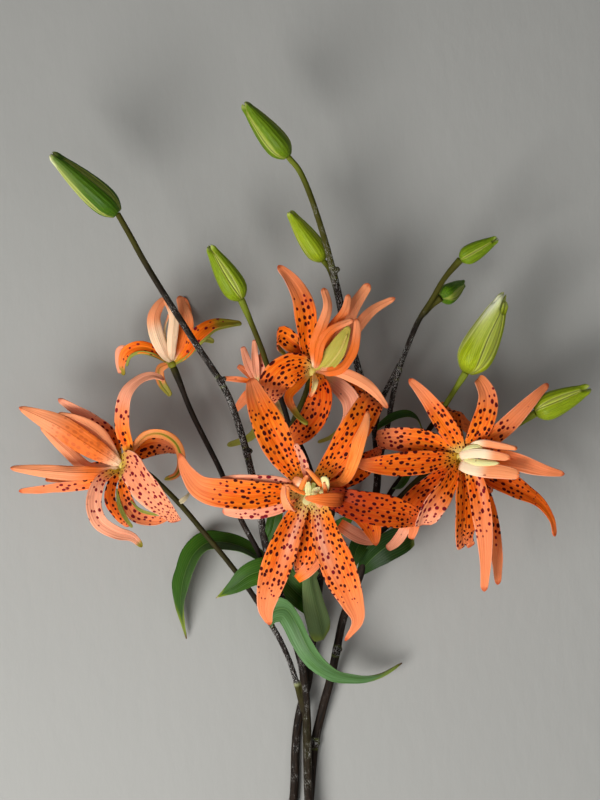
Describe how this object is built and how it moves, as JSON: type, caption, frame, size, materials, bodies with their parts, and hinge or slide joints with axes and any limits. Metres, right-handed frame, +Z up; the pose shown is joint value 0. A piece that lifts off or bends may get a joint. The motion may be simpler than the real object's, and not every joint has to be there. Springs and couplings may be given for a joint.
{
  "type": "bunch of cut lilies",
  "caption": "Bunch of cut double tiger lilies lying on a surface: spotted orange swept-back petals, ridged green buds, lance leaves, dark woolly stems",
  "frame": {"origin": "on the table, under the middle of the bunch's outline", "axes": "+Y runs from the cut stem ends to the bud tips, +X across the bunch to the right seen from above, +Z up from the table"},
  "size_m": [0.2911, 0.4287, 0.0782],
  "materials": {
    "petal": "satin orange petal with maroon-black spots, paler on its back",
    "heart": "satin cream to orange petal-like stamens",
    "bud": "satin ridged green",
    "leaf": "satin green with parallel veins",
    "stem": "dark brown with pale woolly flecks, green towards the buds"
  },
  "bodies": {
    "root": {"stem_left": "stem", "stem_middle": "stem", "stem_right": "stem", "front_bloom": "petal", "left_bloom": "petal", "right_bloom": "petal", "upper_bloom": "petal", "back_bloom": "petal", "rear_bloom": "petal", "front_bloom_heart": "heart", "right_bloom_heart": "heart", "bud_1": "bud", "bud_2": "bud", "bud_3": "bud", "bud_4": "bud", "bud_5": "bud", "bud_6": "bud", "bud_7": "bud", "bud_8": "bud", "leaf_arched": "leaf", "leaf_pointed": "leaf", "leaf_low": "leaf", "leaf_folded": "leaf", "leaf_front": "leaf", "leaf_dark": "leaf", "leaf_behind": "leaf", "leaf_thin": "leaf", "leaf_hidden": "leaf", "leaf_bright": "leaf", "leaf_short": "leaf", "leaf_small": "leaf", "bract": "leaf"}
  },
  "joints": []
}
